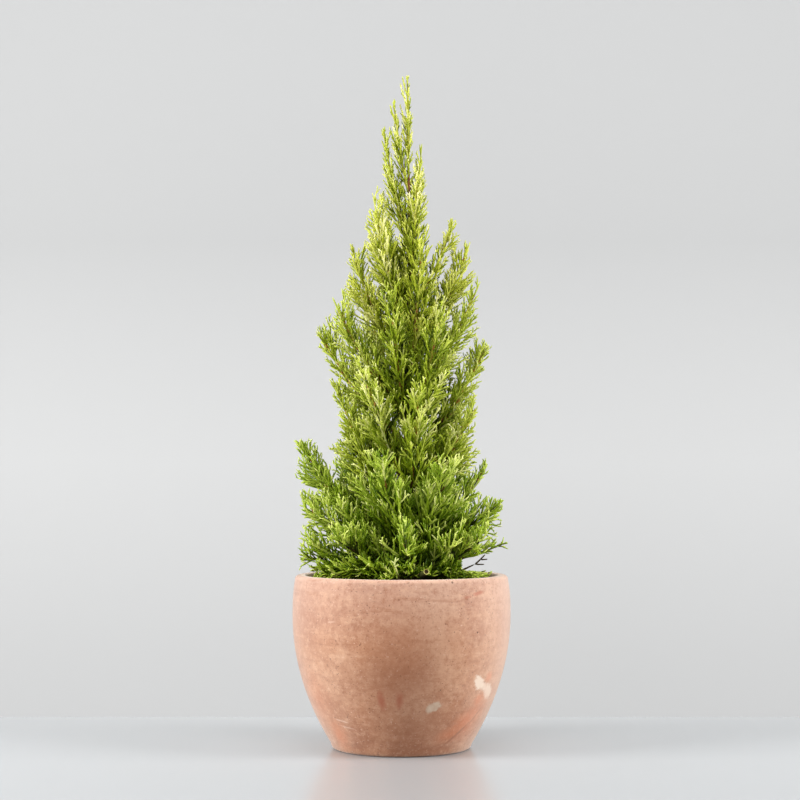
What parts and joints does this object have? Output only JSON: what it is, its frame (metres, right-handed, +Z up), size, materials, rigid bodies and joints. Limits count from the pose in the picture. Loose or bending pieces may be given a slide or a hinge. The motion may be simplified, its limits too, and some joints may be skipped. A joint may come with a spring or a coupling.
{
  "type": "potted monterey cypress",
  "caption": "Young golden Monterey cypress of cone-like outline with feathery upright sprays, planted in a round-bellied unglazed terracotta pot.",
  "frame": {"origin": "centre of the pot's flat underside, on the floor", "axes": "+Z up along the pot's axis and the trunk, +X to the right and +Y away from the viewer as the picture shows the plant"},
  "size_m": [0.251, 0.251, 0.7732],
  "materials": {
    "terracotta": "matt unglazed terracotta",
    "potting_soil": "damp crumbly potting soil",
    "bark": "thin reddish-brown bark",
    "foliage_low": "mid green scale leaves",
    "foliage_middle": "yellow-green scale leaves",
    "foliage_top": "golden yellow-green scale leaves"
  },
  "bodies": {
    "root": {"bough_low_front": "bark", "bough_low_front_right": "bark", "bough_low_left": "bark", "bough_low_left_front": "bark", "bough_low_right": "bark", "bough_middle_front_left": "bark", "bough_middle_left": "bark", "bough_middle_right": "bark", "bough_shoulder_left": "bark", "bough_shoulder_right": "bark", "bough_skirt_left": "bark", "bough_skirt_right": "bark", "bough_upper_left": "bark", "bough_upper_right": "bark", "foliage_high_back_left": "foliage_top", "foliage_high_front": "foliage_top", "foliage_high_left": "foliage_top", "foliage_high_right": "foliage_top", "foliage_leader": "foliage_top", "foliage_low_back_left": "foliage_low", "foliage_low_back_right": "foliage_low", "foliage_low_front": "foliage_low", "foliage_low_front_right": "foliage_low", "foliage_low_left": "foliage_low", "foliage_low_left_front": "foliage_low", "foliage_low_right": "foliage_low", "foliage_low_right_front": "foliage_low", "foliage_middle_back_left": "foliage_middle", "foliage_middle_back_right": "foliage_middle", "foliage_middle_front": "foliage_middle", "foliage_middle_front_left": "foliage_middle", "foliage_middle_left": "foliage_middle", "foliage_middle_right": "foliage_middle", "foliage_shoulder_back_left": "foliage_middle", "foliage_shoulder_back_right": "foliage_middle", "foliage_shoulder_front": "foliage_middle", "foliage_shoulder_front_right": "foliage_middle", "foliage_shoulder_left": "foliage_middle", "foliage_shoulder_left_front": "foliage_middle", "foliage_shoulder_right": "foliage_middle", "foliage_skirt_back": "foliage_low", "foliage_skirt_back_left": "foliage_low", "foliage_skirt_back_right": "foliage_low", "foliage_skirt_front": "foliage_low", "foliage_skirt_front_left": "foliage_low", "foliage_skirt_front_right": "foliage_low", "foliage_skirt_left": "foliage_low", "foliage_skirt_right": "foliage_low", "foliage_top_front": "foliage_top", "foliage_top_left": "foliage_top", "foliage_top_right": "foliage_top", "foliage_upper_back": "foliage_top", "foliage_upper_front": "foliage_top", "foliage_upper_left": "foliage_top", "foliage_upper_right": "foliage_middle", "foliage_upper_right_back": "foliage_top", "pot": "terracotta", "soil": "potting_soil", "trunk": "bark"}
  },
  "joints": []
}
